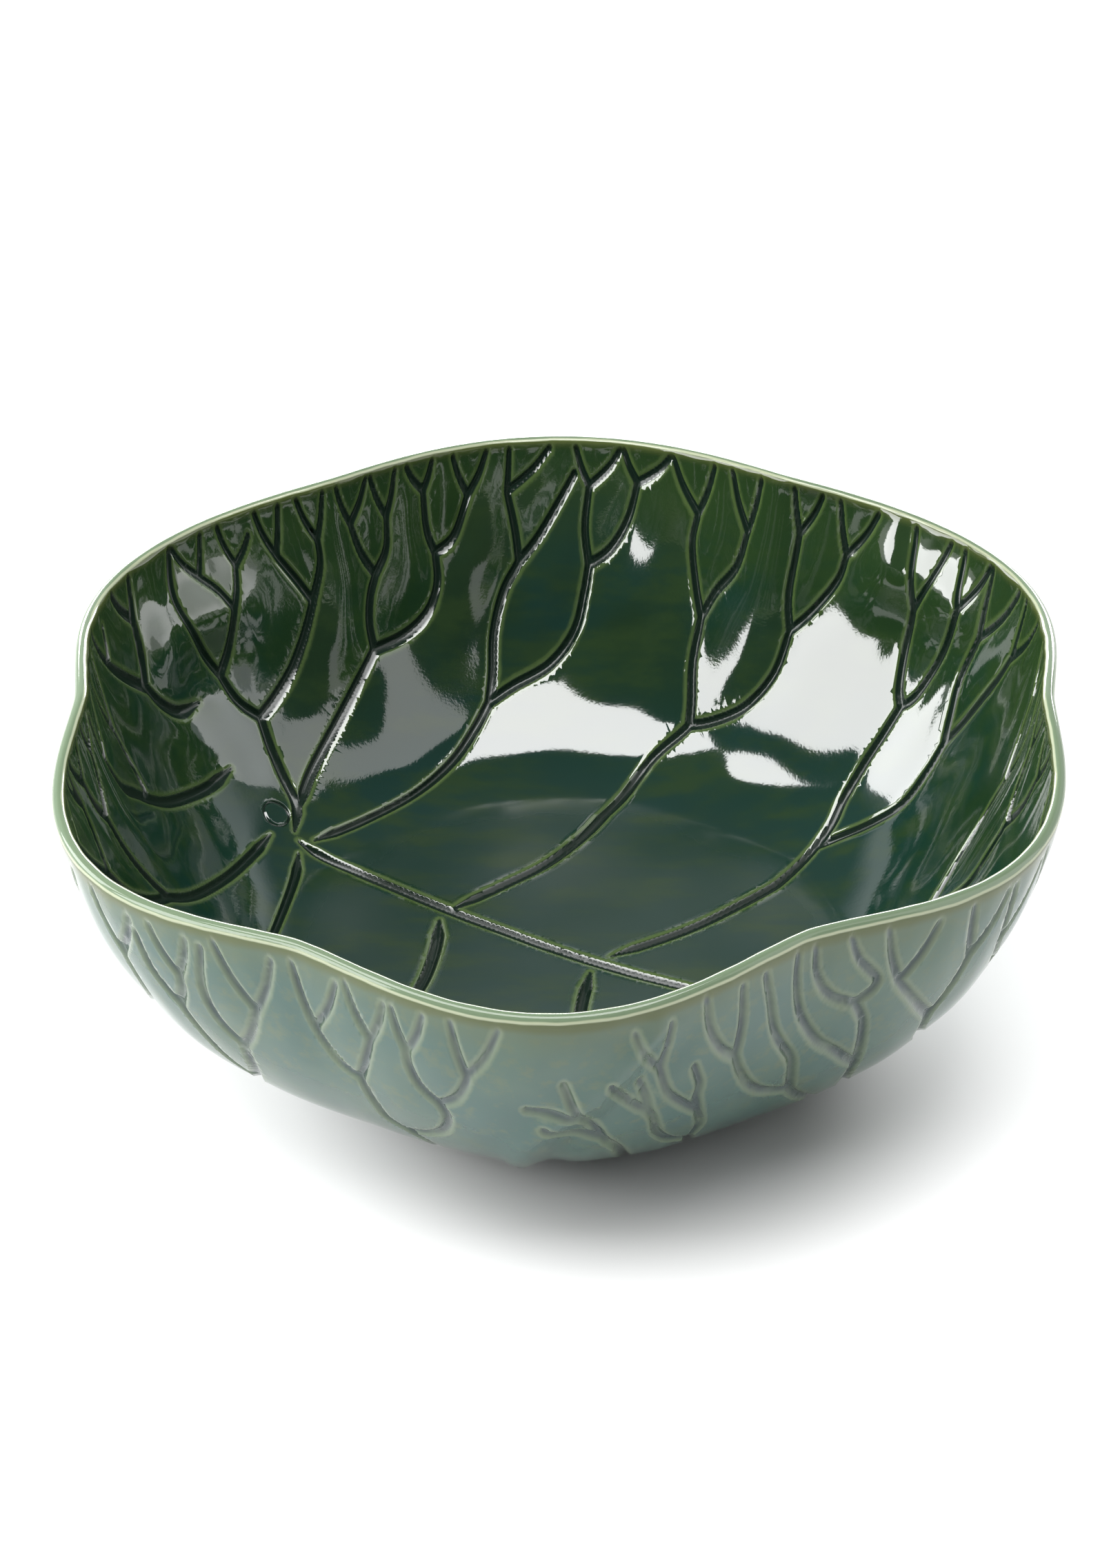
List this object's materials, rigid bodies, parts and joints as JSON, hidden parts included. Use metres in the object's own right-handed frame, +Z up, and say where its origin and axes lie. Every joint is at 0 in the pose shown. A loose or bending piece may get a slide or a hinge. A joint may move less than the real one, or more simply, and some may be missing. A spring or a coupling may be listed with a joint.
{
  "type": "serving bowl",
  "caption": "Wide leaf-shaped serving bowl of glazed earthenware, with a wavy lobed rim, forked veins engraved inside and out, and a low foot ring.",
  "frame": {"origin": "middle of the bowl's footprint, on the plane that its foot ring stands on", "axes": "+Z up through the opening, +Y along the longest side of the rim, towards the lobe opposite the viewer"},
  "size_m": [0.3206, 0.3416, 0.1123],
  "materials": {
    "glaze": "glossy glaze, dark leaf green inside, pale celadon outside, thin and creamy on the rim, bare clay under the foot ring"
  },
  "bodies": {
    "root": {"bowl": "glaze"}
  },
  "joints": []
}
